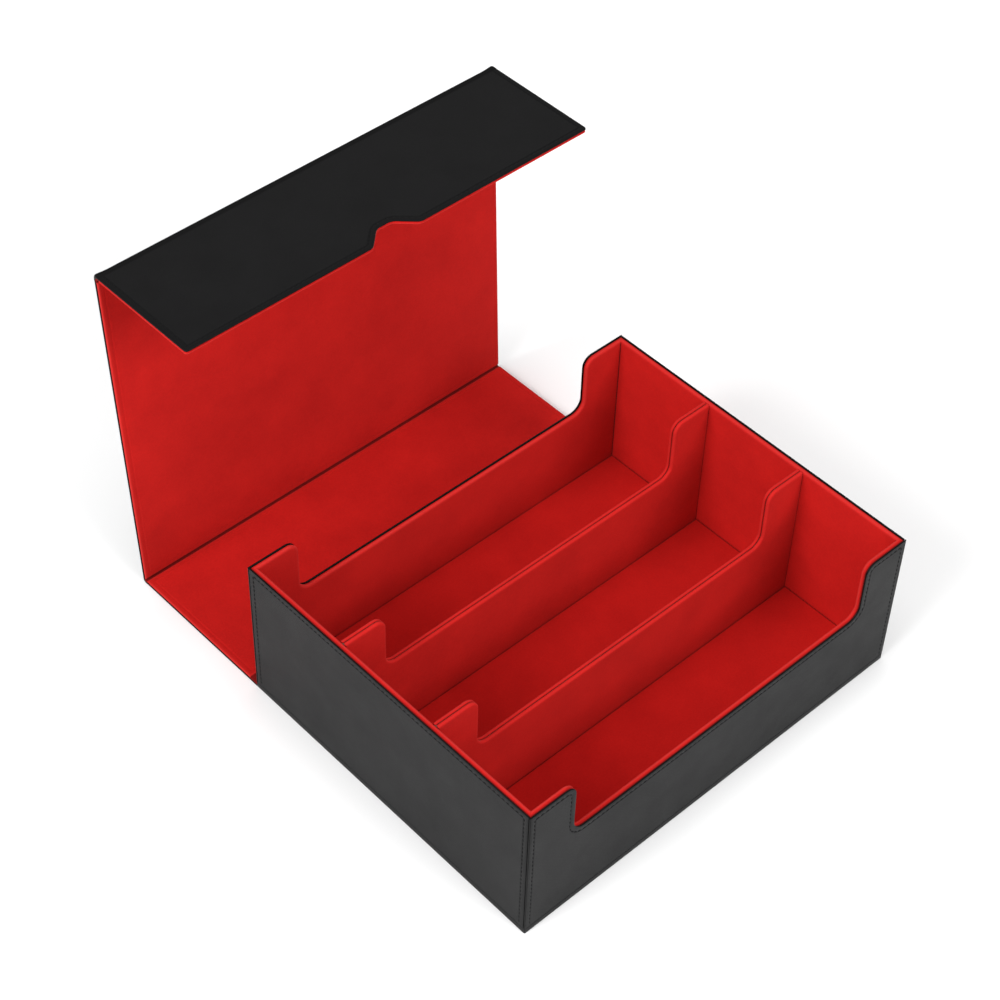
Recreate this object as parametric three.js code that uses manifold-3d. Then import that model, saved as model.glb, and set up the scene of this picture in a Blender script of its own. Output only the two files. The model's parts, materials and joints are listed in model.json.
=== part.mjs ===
// Card deck box: a stitched leather tray with three card rows, and a one-piece folding cover. The cover is
// hinged at the tray's rear foot, stands up behind it, lies over it and hangs down its front, where magnets
// hold it.
// Millimetres. Origin: centre of the tray's underside. +X along the rows, -Y towards the front, +Z up.

import * as THREE from 'three';
import { mergeVertices } from 'three/addons/utils/BufferGeometryUtils.js';
import Module from 'manifold-3d';

const wasm = await Module();
wasm.setup();

// Tray, over its leather.
const LENGTH = 285;
const DEPTH = 224.5;
const HEIGHT = 101;

// Sheets that the box is glued up from, and the gaps left between them.
const LEATHER = 0.9;
const LINING = 1.0;
const COVER_LINING = 0.6;
const BASE_BOARD = 3.0;
const WALL_BOARD = 2.0;
const DIVIDER_BOARD = 2.4;
const COVER_BOARD = 1.2;
const GLUE = 0.15;
const SEAM = 0.3;

// Hand scoop, the same in the front wall, the rear wall and both dividers.
const SCOOP_SHOULDER = 32.3;
const SCOOP_LOW_EDGE = 61;
const SCOOP_TOP_RADIUS = 7;
const SCOOP_LOW_RADIUS = 8;

// Cover: its clearances round the closed tray, its folds and its flap.
const REAR_GAP = 0.4;
const LID_GAP = 1.2;
const FLAP_GAP = 1.45;
const FOLD_CLEARANCE = 0.5;
const FOLD_RADIUS = 1.8;
const FLAP_LENGTH = 80;
const FLAP_CREASE = 2.2;
const FLAP_SETBACK = 3.7;
const FLAP_CORNER_RADIUS = 2;
const NOTCH_DEPTH = 11;
const NOTCH_MOUTH = 34;
const NOTCH_FLAT = 10.5;
const NOTCH_MOUTH_RADIUS = 6;
const NOTCH_FLAT_RADIUS = 5;

// Cover at rest, open: turns at its folds, in degrees.
const TOP_FOLD_TURN = 87.3;
const FLAP_FOLD_TURN = 92.5;

// Stitch line: a channel pressed into the leather with the thread lying in it.
const STITCH_INSET = 3.4;
const STITCH_WIDTH = 0.8;
const STITCH_THICKNESS = 0.3;
const STITCH_SINK = 0.05;
const STITCH_FOOT = 1.5;
const CHANNEL_CLEARANCE = 0.15;

// Closure magnets, a pair in the front wall and a pair in the flap.
const MAGNET_LENGTH = 20;
const MAGNET_WIDTH = 10;
const MAGNET_THICKNESS = 1.0;
const MAGNET_SPACING = 140;
const MAGNET_HEIGHT = 40;

// Worked out from the sizes above.
const WALL = LEATHER + GLUE + WALL_BOARD + GLUE + LINING;
const DIVIDER = DIVIDER_BOARD + 2 * GLUE + 2 * LINING;
const COVER = LEATHER + GLUE + COVER_BOARD + GLUE + COVER_LINING;
const HALF_LENGTH = LENGTH / 2;
const HALF_DEPTH = DEPTH / 2;
const BASE_TOP = LEATHER + GLUE + BASE_BOARD;
const WALL_FOOT = BASE_TOP + GLUE;
const BOARD_FACE = LEATHER + GLUE;
const BOARD_BACK = BOARD_FACE + WALL_BOARD;
const SHEET_FACE = BOARD_BACK + GLUE;
const ROW_WIDTH = (DEPTH - 2 * WALL - 2 * DIVIDER) / 3;
const ROW_PITCH = ROW_WIDTH + DIVIDER;
const CHANNEL_DEPTH = STITCH_SINK + STITCH_THICKNESS + CHANNEL_CLEARANCE;
const CHANNEL_WIDTH = STITCH_WIDTH + 2 * CHANNEL_CLEARANCE;

// Cover panels are drawn flat: y runs on from the fold, z from the leather's middle towards the lining.
const SKIN = LEATHER / 2;
const COVER_BOARD_FACE = SKIN + GLUE;
const COVER_LINING_BACK = COVER - SKIN;
const FOLD_SETBACK = COVER_LINING_BACK + FOLD_CLEARANCE;
const REAR_FOLD_Y = HALF_DEPTH + REAR_GAP + COVER_LINING_BACK;
const REAR_SPAN = HEIGHT + LID_GAP + COVER - LEATHER;
const TOP_SPAN = REAR_FOLD_Y + HALF_DEPTH + FLAP_GAP + COVER_LINING_BACK;
const FLAP_SPAN = FLAP_LENGTH - SKIN;
const STRIP_SPAN = 2 * FLAP_CREASE * Math.cos(Math.PI / 4);
const CREASE_TURN = FLAP_FOLD_TURN / 2;

const ARC_STEPS = 6;
const OVERCUT = 1;

const leather = new THREE.MeshStandardMaterial({ color: 0x2b2a2b, roughness: 0.6, metalness: 0 });
const suede = new THREE.MeshStandardMaterial({ color: 0xb0201c, roughness: 0.95, metalness: 0 });
const greyboard = new THREE.MeshStandardMaterial({ color: 0x8c8171, roughness: 0.9, metalness: 0 });
const thread = new THREE.MeshStandardMaterial({ color: 0x161617, roughness: 0.8, metalness: 0 });
const magnetSteel = new THREE.MeshStandardMaterial({ color: 0xb4b6b8, roughness: 0.3, metalness: 1 });

// An outline from its corners, [x, y, radius] in anticlockwise order, moved inwards by inset.
function outline(corners, inset = 0) {
  const points = [];
  const count = corners.length;
  corners.forEach(([x, y, radius = 0], index) => {
    const [beforeX, beforeY] = corners[(index + count - 1) % count];
    const [afterX, afterY] = corners[(index + 1) % count];
    const into = new THREE.Vector2(x - beforeX, y - beforeY).normalize();
    const away = new THREE.Vector2(afterX - x, afterY - y).normalize();
    const intoNormal = new THREE.Vector2(-into.y, into.x);
    const awayNormal = new THREE.Vector2(-away.y, away.x);
    const mitre = inset / (1 + intoNormal.dot(awayNormal));
    const corner = new THREE.Vector2(x, y);
    corner.addScaledVector(intoNormal, mitre).addScaledVector(awayNormal, mitre);
    const turn = Math.atan2(into.cross(away), into.dot(away));
    const side = Math.sign(turn);
    const arc = radius - side * inset;
    if (radius === 0 || arc <= 0) {
      points.push(corner);
      return;
    }
    const start = corner.clone().addScaledVector(into, -arc * Math.tan(Math.abs(turn) / 2));
    const centre = start.clone().addScaledVector(intoNormal, side * arc);
    for (let step = 0; step <= ARC_STEPS; step += 1) {
      points.push(start.clone().rotateAround(centre, (turn * step) / ARC_STEPS));
    }
  });
  return new THREE.Shape(points);
}

function rectangle(lowX, lowY, highX, highY, radius = 0) {
  return [[lowX, lowY, radius], [highX, lowY, radius], [highX, highY, radius], [lowX, highY, radius]];
}

function extrude(shape, depth) {
  return new THREE.ExtrudeGeometry(shape, { depth, bevelEnabled: false });
}

// A plate whose outline lies in x and z, between two values of y.
function plateAcrossY(shape, [low, high]) {
  return extrude(shape, high - low).rotateX(Math.PI / 2).translate(0, high, 0);
}

// A bar whose section lies in y and z, between two values of x.
function barAlongX(shape, [low, high]) {
  const turned = new THREE.Matrix4().makeBasis(
    new THREE.Vector3(0, 1, 0), new THREE.Vector3(0, 0, 1), new THREE.Vector3(1, 0, 0));
  return extrude(shape, high - low).applyMatrix4(turned).translate(low, 0, 0);
}

// A plate whose outline lies in x and y, between two heights.
function plateAcrossZ(shape, [low, high]) {
  return extrude(shape, high - low).translate(0, 0, low);
}

function block([lowX, highX], [lowY, highY], [lowZ, highZ]) {
  return plateAcrossZ(outline(rectangle(lowX, lowY, highX, highY)), [lowZ, highZ]);
}

function solidOf(geometry) {
  const bare = geometry.clone();
  bare.deleteAttribute('normal');
  bare.deleteAttribute('uv');
  const merged = mergeVertices(bare);
  const vertProperties = new Float32Array(merged.attributes.position.array);
  const triVerts = new Uint32Array(merged.index.array);
  return new wasm.Manifold(new wasm.Mesh({ numProp: 3, vertProperties, triVerts }));
}

function cut(geometry, ...tools) {
  const solid = tools.reduce((left, tool) => left.subtract(solidOf(tool)), solidOf(geometry));
  const mesh = solid.getMesh();
  const result = new THREE.BufferGeometry();
  result.setAttribute('position', new THREE.BufferAttribute(mesh.vertProperties, 3));
  result.setIndex(new THREE.BufferAttribute(mesh.triVerts, 1));
  result.computeVertexNormals();
  return result;
}

function addPiece(group, name, geometry, material) {
  const mesh = new THREE.Mesh(geometry, material);
  mesh.name = name;
  group.add(mesh);
}

// The stretch between two depths in from an outer face, on the low (-1) or high (+1) side of the tray.
function band(side, half, shallow, deep) {
  return side < 0 ? [shallow - half, deep - half] : [half - deep, half - shallow];
}

// A wall with the hand scoop; drop lowers its top and the scoop's edge without moving its foot or ends.
function scoopedWall(halfLength, foot, drop = 0) {
  const top = HEIGHT - drop;
  const low = SCOOP_LOW_EDGE - drop;
  const side = HALF_LENGTH - SCOOP_SHOULDER + drop;
  const topRadius = Math.max(SCOOP_TOP_RADIUS - drop, SEAM);
  const lowRadius = SCOOP_LOW_RADIUS + drop;
  return outline([
    [-halfLength, foot], [halfLength, foot], [halfLength, top],
    [side, top, topRadius], [side, low, lowRadius],
    [-side, low, lowRadius], [-side, top, topRadius], [-halfLength, top],
  ]);
}

function magnetOutline(x, along, clearance) {
  const halfLength = MAGNET_LENGTH / 2 + clearance;
  const halfWidth = MAGNET_WIDTH / 2 + clearance;
  return outline(rectangle(x - halfLength, along - halfWidth, x + halfLength, along + halfWidth));
}

function wallMagnet(x, clearance, across) {
  return plateAcrossY(magnetOutline(x, MAGNET_HEIGHT, clearance), across);
}

function flapMagnet(x, along, clearance, between) {
  return plateAcrossZ(magnetOutline(x, along, clearance), between);
}

const magnetSides = [['left', -MAGNET_SPACING / 2], ['right', MAGNET_SPACING / 2]];

// Base: a leather pan round a thick board, with a lining sheet in each row.
function buildBase(tray) {
  const foot = rectangle(-HALF_LENGTH, -HALF_DEPTH, HALF_LENGTH, HALF_DEPTH);
  const skin = plateAcrossZ(outline(foot), [0, BASE_TOP]);
  const hollow = plateAcrossZ(outline(foot, LEATHER), [LEATHER, BASE_TOP + OVERCUT]);
  addPiece(tray, 'base_leather', cut(skin, hollow), leather);
  addPiece(tray, 'base_board', plateAcrossZ(outline(foot, BOARD_FACE), [BOARD_FACE, BASE_TOP]), greyboard);
  const floorLength = [WALL + SEAM - HALF_LENGTH, HALF_LENGTH - WALL - SEAM];
  ['front', 'middle', 'rear'].forEach((row, index) => {
    const centre = (index - 1) * ROW_PITCH;
    const floorWidth = [centre - ROW_WIDTH / 2 + SEAM, centre + ROW_WIDTH / 2 - SEAM];
    const sheet = block(floorLength, floorWidth, [WALL_FOOT, WALL_FOOT + LINING]);
    addPiece(tray, `${row}_row_floor_lining`, sheet, suede);
  });
}

// Stitch line of a wall: up one end, along the rim and down the other end.
function wallStitchLine(outerShape, innerShape, extrudeBetween, across) {
  return cut(extrudeBetween(outerShape, across), extrudeBetween(innerShape, across));
}

// Front and rear walls run the tray's full length, over the ends of the end walls.
function buildLongWall(tray, name, side) {
  const boardHalf = HALF_LENGTH - BOARD_FACE;
  const stitchShape = (width) => {
    const inset = STITCH_INSET - width / 2;
    return scoopedWall(HALF_LENGTH - inset, WALL_FOOT + STITCH_FOOT, inset);
  };
  const stitchHole = (width) => {
    const inset = STITCH_INSET + width / 2;
    return scoopedWall(HALF_LENGTH - inset, WALL_FOOT - OVERCUT, inset);
  };
  const channel = wallStitchLine(stitchShape(CHANNEL_WIDTH), stitchHole(CHANNEL_WIDTH), plateAcrossY,
    band(side, HALF_DEPTH, -OVERCUT, CHANNEL_DEPTH));
  const skin = plateAcrossY(scoopedWall(HALF_LENGTH, WALL_FOOT), band(side, HALF_DEPTH, 0, LEATHER));
  addPiece(tray, `${name}_leather`, cut(skin, channel), leather);
  addPiece(tray, `${name}_stitching`, wallStitchLine(stitchShape(STITCH_WIDTH), stitchHole(STITCH_WIDTH),
    plateAcrossY, band(side, HALF_DEPTH, STITCH_SINK, STITCH_SINK + STITCH_THICKNESS)), thread);

  const board = plateAcrossY(scoopedWall(boardHalf, WALL_FOOT, LINING + GLUE),
    band(side, HALF_DEPTH, BOARD_FACE, BOARD_BACK));
  addPiece(tray, `${name}_board`, side < 0 ? cut(board, ...wallMagnetWindows(side)) : board, greyboard);

  const wrap = plateAcrossY(scoopedWall(boardHalf, WALL_FOOT), band(side, HALF_DEPTH, BOARD_FACE, WALL));
  const boardRoom = plateAcrossY(scoopedWall(boardHalf + OVERCUT, WALL_FOOT - OVERCUT, LINING),
    band(side, HALF_DEPTH, BOARD_FACE - OVERCUT, SHEET_FACE));
  const endRooms = [-1, 1].map((end) => block(
    band(end, HALF_LENGTH, -OVERCUT, SHEET_FACE),
    band(side, HALF_DEPTH, 0, WALL + OVERCUT),
    [WALL_FOOT - OVERCUT, HEIGHT - LINING]));
  addPiece(tray, `${name}_lining`, cut(wrap, boardRoom, ...endRooms), suede);
}

function wallMagnetWindows(side) {
  const across = band(side, HALF_DEPTH, BOARD_FACE - OVERCUT, BOARD_BACK + OVERCUT);
  return magnetSides.map(([, x]) => wallMagnet(x, SEAM, across));
}

// End walls stand between the front and rear walls.
function buildEndWall(tray, name, side) {
  const skinHalf = HALF_DEPTH - LEATHER - SEAM;
  const rimRectangle = (inset, foot) => (
    outline(rectangle(inset - skinHalf, foot, skinHalf - inset, HEIGHT - inset)));
  const stitchShape = (width) => rimRectangle(STITCH_INSET - width / 2, WALL_FOOT + STITCH_FOOT);
  const stitchHole = (width) => rimRectangle(STITCH_INSET + width / 2, WALL_FOOT - OVERCUT);
  const channel = wallStitchLine(stitchShape(CHANNEL_WIDTH), stitchHole(CHANNEL_WIDTH), barAlongX,
    band(side, HALF_LENGTH, -OVERCUT, CHANNEL_DEPTH));
  const skin = barAlongX(rimRectangle(0, WALL_FOOT), band(side, HALF_LENGTH, 0, LEATHER));
  addPiece(tray, `${name}_leather`, cut(skin, channel), leather);
  addPiece(tray, `${name}_stitching`, wallStitchLine(stitchShape(STITCH_WIDTH), stitchHole(STITCH_WIDTH),
    barAlongX, band(side, HALF_LENGTH, STITCH_SINK, STITCH_SINK + STITCH_THICKNESS)), thread);

  const boardDepth = [SHEET_FACE - HALF_DEPTH, HALF_DEPTH - SHEET_FACE];
  const board = block(band(side, HALF_LENGTH, BOARD_FACE, BOARD_BACK), boardDepth,
    [WALL_FOOT, HEIGHT - LINING - GLUE]);
  addPiece(tray, `${name}_board`, board, greyboard);

  const liningDepth = [WALL + SEAM - HALF_DEPTH, HALF_DEPTH - WALL - SEAM];
  const wrap = block(band(side, HALF_LENGTH, BOARD_FACE, WALL), liningDepth, [WALL_FOOT, HEIGHT]);
  const boardRoom = block(band(side, HALF_LENGTH, BOARD_FACE - OVERCUT, SHEET_FACE),
    [-HALF_DEPTH, HALF_DEPTH], [WALL_FOOT - OVERCUT, HEIGHT - LINING]);
  addPiece(tray, `${name}_lining`, cut(wrap, boardRoom), suede);
}

// A divider is a board between two lining sheets that meet in a seam along its rim.
function buildDivider(tray, name, centre) {
  const halfLength = HALF_LENGTH - WALL - SEAM;
  const board = plateAcrossY(scoopedWall(halfLength, WALL_FOOT, LINING + GLUE),
    [centre - DIVIDER_BOARD / 2, centre + DIVIDER_BOARD / 2]);
  addPiece(tray, `${name}_board`, board, greyboard);
  [['front', -1], ['rear', 1]].forEach(([face, side]) => {
    const across = (near, far) => (
      side < 0 ? [centre - far, centre - near] : [centre + near, centre + far]);
    const wrap = plateAcrossY(scoopedWall(halfLength, WALL_FOOT), across(SEAM / 2, DIVIDER / 2));
    const boardRoom = plateAcrossY(scoopedWall(halfLength + OVERCUT, WALL_FOOT - OVERCUT, LINING),
      across(-OVERCUT, DIVIDER_BOARD / 2 + GLUE));
    addPiece(tray, `${name}_${face}_lining`, cut(wrap, boardRoom), suede);
  });
}

// A cover panel: leather outside, board inside a lining that wraps over the board's edges.
// stitchLines maps each stitching node to a function that makes its band from a width and two depths.
function buildCoverPanel(group, name, corners, stitchLines, windows = []) {
  const channelBetween = [-SKIN - OVERCUT, CHANNEL_DEPTH - SKIN];
  const stitchBetween = [STITCH_SINK - SKIN, STITCH_SINK + STITCH_THICKNESS - SKIN];
  const skin = plateAcrossZ(outline(corners), [-SKIN, SKIN]);
  const channels = Object.values(stitchLines).map((line) => line(CHANNEL_WIDTH, channelBetween));
  addPiece(group, `${name}_leather`, cut(skin, ...channels), leather);
  Object.entries(stitchLines).forEach(([stitching, line]) => {
    addPiece(group, stitching, line(STITCH_WIDTH, stitchBetween), thread);
  });
  const boardTop = COVER_BOARD_FACE + COVER_BOARD;
  const board = plateAcrossZ(outline(corners, COVER_LINING + GLUE), [COVER_BOARD_FACE, boardTop]);
  addPiece(group, `${name}_board`, cut(board, ...windows), greyboard);
  const wrap = plateAcrossZ(outline(corners), [COVER_BOARD_FACE, COVER_LINING_BACK]);
  const boardRoom = plateAcrossZ(outline(corners, COVER_LINING),
    [COVER_BOARD_FACE - OVERCUT, boardTop + GLUE]);
  addPiece(group, `${name}_lining`, cut(wrap, boardRoom), suede);
}

// The rear and top panels are stitched along their two ends, from fold to fold.
function buildFoldedPanel(group, name, start, end) {
  const stitchLine = (side) => (width, between) => block(
    band(side, HALF_LENGTH, STITCH_INSET - width / 2, STITCH_INSET + width / 2),
    [start + STITCH_FOOT, end - STITCH_FOOT], between);
  buildCoverPanel(group, name, rectangle(-HALF_LENGTH, start, HALF_LENGTH, end), {
    [`${name}_left_stitching`]: stitchLine(-1),
    [`${name}_right_stitching`]: stitchLine(1),
  });
}

// A fold strip bridges two panels: it leaves the first along +y, turns at each crease and ends on the
// second.
// creases lists [span to the crease, turn there]; low and high are the sheet's faces.
function foldStrip(lead, creases, tail, low, high, radius) {
  const side = (offset, bend) => {
    const corners = [];
    const at = new THREE.Vector2(0, 0);
    let heading = 0;
    corners.push([-lead, offset]);
    creases.forEach(([span, turn]) => {
      at.add(new THREE.Vector2(span, 0).rotateAround(new THREE.Vector2(), heading));
      const toCorner = new THREE.Vector2(-offset * Math.tan(turn / 2), offset);
      const corner = toCorner.rotateAround(new THREE.Vector2(), heading).add(at);
      corners.push([corner.x, corner.y, turn > 0 ? bend : 0]);
      heading += turn;
    });
    const end = new THREE.Vector2(tail, offset).rotateAround(new THREE.Vector2(), heading).add(at);
    corners.push([end.x, end.y]);
    return corners;
  };
  const outside = side(low, radius);
  const inside = side(high, Math.max(radius - (high - low), SEAM));
  return barAlongX(outline([...outside, ...inside.reverse()]), [-HALF_LENGTH, HALF_LENGTH]);
}

function addFold(group, name, lead, creases, tail, radius) {
  const outer = foldStrip(lead - SEAM, creases, tail - SEAM, -SKIN, SKIN, radius);
  addPiece(group, `${name}_leather`, outer, leather);
  const inner = foldStrip(lead - SEAM, creases, tail - SEAM, COVER_BOARD_FACE,
    COVER_BOARD_FACE + COVER_LINING, radius);
  addPiece(group, `${name}_lining`, inner, suede);
}

function nest(parent, y, z, turn) {
  const group = new THREE.Group();
  group.position.set(0, y, z);
  group.rotation.x = THREE.MathUtils.degToRad(turn);
  parent.add(group);
  return group;
}

function flapCorners(start, end) {
  return [
    [-HALF_LENGTH, start], [HALF_LENGTH, start],
    [HALF_LENGTH, end, FLAP_CORNER_RADIUS],
    [NOTCH_MOUTH / 2, end, NOTCH_MOUTH_RADIUS],
    [NOTCH_FLAT / 2, end - NOTCH_DEPTH, NOTCH_FLAT_RADIUS],
    [-NOTCH_FLAT / 2, end - NOTCH_DEPTH, NOTCH_FLAT_RADIUS],
    [-NOTCH_MOUTH / 2, end, NOTCH_MOUTH_RADIUS],
    [-HALF_LENGTH, end, FLAP_CORNER_RADIUS],
  ];
}

// The flap is stitched round its ends, its free edge and the thumb notch, and not along its fold.
function buildFlap(flap) {
  const start = FLAP_SETBACK - FLAP_CREASE;
  const end = FLAP_SPAN - FLAP_CREASE;
  const magnetY = REAR_SPAN + SKIN - MAGNET_HEIGHT - FLAP_CREASE;
  const windowBetween = [COVER_BOARD_FACE - OVERCUT, COVER_BOARD_FACE + COVER_BOARD + OVERCUT];
  const windows = magnetSides.map(([, x]) => flapMagnet(x, magnetY, SEAM, windowBetween));
  const stitchLine = (width, between) => {
    const shallow = STITCH_INSET - width / 2;
    const deep = STITCH_INSET + width / 2;
    return cut(
      plateAcrossZ(outline(flapCorners(start + STITCH_FOOT - shallow, end), shallow), between),
      plateAcrossZ(outline(flapCorners(start - OVERCUT - deep, end), deep), between));
  };
  const stitchLines = { front_flap_stitching: stitchLine };
  buildCoverPanel(flap, 'front_flap', flapCorners(start, end), stitchLines, windows);
  const middle = COVER_BOARD_FACE + COVER_BOARD / 2;
  const magnetBetween = [middle - MAGNET_THICKNESS / 2, middle + MAGNET_THICKNESS / 2];
  magnetSides.forEach(([side, x]) => {
    addPiece(flap, `flap_magnet_${side}`, flapMagnet(x, magnetY, 0, magnetBetween), magnetSteel);
  });
}

const box = new THREE.Group();

buildBase(box);
buildLongWall(box, 'front_wall', -1);
buildLongWall(box, 'rear_wall', 1);
buildEndWall(box, 'left_end', -1);
buildEndWall(box, 'right_end', 1);
buildDivider(box, 'front_divider', -ROW_PITCH / 2);
buildDivider(box, 'rear_divider', ROW_PITCH / 2);
magnetSides.forEach(([side, x]) => {
  const middle = BOARD_FACE + WALL_BOARD / 2;
  const across = band(-1, HALF_DEPTH, middle - MAGNET_THICKNESS / 2, middle + MAGNET_THICKNESS / 2);
  addPiece(box, `wall_magnet_${side}`, wallMagnet(x, 0, across), magnetSteel);
});

const rearPanel = nest(box, REAR_FOLD_Y, SKIN, 0);
const topPanel = nest(rearPanel, REAR_SPAN, 0, TOP_FOLD_TURN);
const flapStrip = nest(topPanel, TOP_SPAN - FLAP_CREASE, 0, CREASE_TURN);
const frontFlap = nest(flapStrip, STRIP_SPAN, 0, FLAP_FOLD_TURN - CREASE_TURN);

addFold(rearPanel, 'rear_fold', REAR_FOLD_Y - HALF_DEPTH, [], FOLD_SETBACK, FOLD_RADIUS);
buildFoldedPanel(rearPanel, 'rear_panel', FOLD_SETBACK, REAR_SPAN - FOLD_SETBACK);
const topFold = nest(rearPanel, REAR_SPAN, 0, 0);
const topTurn = THREE.MathUtils.degToRad(TOP_FOLD_TURN);
addFold(topFold, 'top_fold', FOLD_SETBACK, [[0, topTurn]], FOLD_SETBACK, FOLD_RADIUS);
buildFoldedPanel(topPanel, 'top_panel', FOLD_SETBACK, TOP_SPAN - FLAP_SETBACK);
const flapFold = nest(flapStrip, 0, 0, -CREASE_TURN);
const creaseTurn = THREE.MathUtils.degToRad(CREASE_TURN);
addFold(flapFold, 'flap_fold', FLAP_SETBACK - FLAP_CREASE, [[0, creaseTurn], [STRIP_SPAN, creaseTurn]],
  FLAP_SETBACK - FLAP_CREASE, FOLD_RADIUS);
buildFlap(frontFlap);

export default box;
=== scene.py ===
"""The looks of the card deck box: a stitched leather tray with three suede-lined rows and a folding cover.

Every size is in metres. The box stands on z = 0 with its front wall towards -y and its cover folded out
behind it, towards +y.
"""

import json
import math

import bmesh
import bpy
from mathutils import Matrix, Vector


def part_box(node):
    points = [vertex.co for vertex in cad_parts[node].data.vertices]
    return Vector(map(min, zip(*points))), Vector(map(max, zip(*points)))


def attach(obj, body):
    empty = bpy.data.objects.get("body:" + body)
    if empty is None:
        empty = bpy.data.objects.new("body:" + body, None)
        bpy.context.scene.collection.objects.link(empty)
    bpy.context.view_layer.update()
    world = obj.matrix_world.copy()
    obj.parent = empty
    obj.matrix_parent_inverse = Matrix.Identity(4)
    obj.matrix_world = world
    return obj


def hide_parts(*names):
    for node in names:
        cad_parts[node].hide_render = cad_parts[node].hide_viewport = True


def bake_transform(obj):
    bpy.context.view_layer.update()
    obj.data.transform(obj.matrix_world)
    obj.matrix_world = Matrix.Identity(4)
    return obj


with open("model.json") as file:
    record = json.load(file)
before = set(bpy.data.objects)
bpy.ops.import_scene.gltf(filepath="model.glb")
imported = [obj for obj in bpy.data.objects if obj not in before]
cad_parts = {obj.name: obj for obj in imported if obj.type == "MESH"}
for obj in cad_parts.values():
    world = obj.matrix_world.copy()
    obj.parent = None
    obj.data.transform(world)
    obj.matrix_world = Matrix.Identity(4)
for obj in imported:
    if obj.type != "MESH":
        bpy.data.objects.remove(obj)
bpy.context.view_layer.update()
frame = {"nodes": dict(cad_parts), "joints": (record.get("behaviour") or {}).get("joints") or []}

bl_info = {
    "name": "Card Deck Box",
    "version": (1, 0, 0),
    "blender": (4, 5, 0),
    "location": "3D View > Sidebar > Deck Box",
    "description": "Builds the leather, suede, thread and stage of a card deck box round its packed frame",
    "category": "Object",
}

MM = 0.001
FRONT_AND_REAR = (("front", -1), ("rear", 1))
ENDS = (("left", -1), ("right", 1))

# Sizes and places that the frame gives.
TRAY_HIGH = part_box("base_leather")[1]
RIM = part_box("front_wall_leather")[1][2]
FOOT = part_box("front_wall_leather")[0][2]
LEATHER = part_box("front_wall_leather")[1][1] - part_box("front_wall_leather")[0][1]
HALF_LENGTH = TRAY_HIGH[0]
HALF_DEPTH = TRAY_HIGH[1]
WALL = HALF_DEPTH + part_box("front_wall_lining")[1][1]
BOARD_FACE = HALF_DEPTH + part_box("front_wall_board")[0][1]
# Each wall, the way it faces, and half the length of its leather and of its lining.
WALLS = (
    ("front_wall", (0, -1), HALF_LENGTH, HALF_LENGTH - BOARD_FACE),
    ("rear_wall", (0, 1), HALF_LENGTH, HALF_LENGTH - BOARD_FACE),
    ("left_end", (-1, 0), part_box("left_end_leather")[1][1], HALF_DEPTH - BOARD_FACE),
    ("right_end", (1, 0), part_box("left_end_leather")[1][1], HALF_DEPTH - BOARD_FACE),
)
JOINTS = {joint["name"]: Vector(joint["pos_m"]) for joint in frame["joints"]}


def length_mm(name, description, default):
    """A length that can be set; its default is in millimetres."""
    return bpy.props.FloatProperty(
        name=name, description=description, default=default * MM, unit="LENGTH", precision=4)


def colour(name, description, red, green, blue):
    """A colour that can be set."""
    return bpy.props.FloatVectorProperty(
        name=name, description=description, default=(red, green, blue, 1), subtype="COLOR", size=4,
        min=0, max=1)


class DeckBoxSizes(bpy.types.PropertyGroup):
    """Sizes of the cut, sewn and rolled details."""

    scoop_shoulder: length_mm("Scoop Shoulder", "Rim left on each side of a hand scoop", 32.3)
    scoop_edge: length_mm("Scoop Edge", "Height of a hand scoop's low edge", 61)
    scoop_top_radius: length_mm("Scoop Top Radius", "Rounding where a scoop leaves the rim", 7)
    scoop_low_radius: length_mm("Scoop Low Radius", "Rounding in a scoop's lower corners", 8)
    notch_mouth: length_mm("Notch Mouth", "Width of the thumb notch at the flap's free edge", 34)
    notch_flat: length_mm("Notch Flat", "Width of the thumb notch at its deepest", 10.5)
    notch_depth: length_mm("Notch Depth", "Depth of the thumb notch", 11)
    notch_radius: length_mm("Notch Radius", "Rounding of the thumb notch's corners", 5.5)
    flap_corner: length_mm("Flap Corner", "Rounding of the flap's free corners", 2)
    leather_edge: length_mm("Leather Edge", "Rounding of the leather's cut edges", 0.38)
    rim_roll: length_mm("Rim Roll", "Rounding where a wall's suede rolls over its rim", 1.35)
    divider_roll: length_mm("Divider Roll", "Rounding where a divider's suede rolls over its rim", 1.15)
    seam_roll: length_mm("Seam Roll", "Rounding of a divider's suede at the seam along its rim", 0.5)
    rolled_edge: length_mm("Rolled Edge", "Rounding where the cover's suede rolls over a board", 0.95)
    suede: length_mm("Suede", "Thickness of the suede on the walls", 0.85)
    cover_suede: length_mm("Cover Suede", "Thickness of the suede on the cover", 0.55)
    cover_setback: length_mm("Cover Setback", "Leather left showing round the cover's suede", 0.15)
    fold_suede: length_mm("Fold Suede", "Thickness of the suede in the folds", 0.95)
    ridge_rise: length_mm("Ridge Rise", "How far the flap's fold bulges outwards", 1.3)
    ridge_swell: length_mm("Ridge Swell", "How much further the flap's fold bulges at its two ends", 0.5)
    fold_radius: length_mm("Fold Radius", "Rounding of the top fold, at the middle of the leather", 1.7)
    ridge_radius: length_mm("Ridge Radius", "Rounding of the flap's fold, at the middle of the leather", 2.3)


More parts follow.
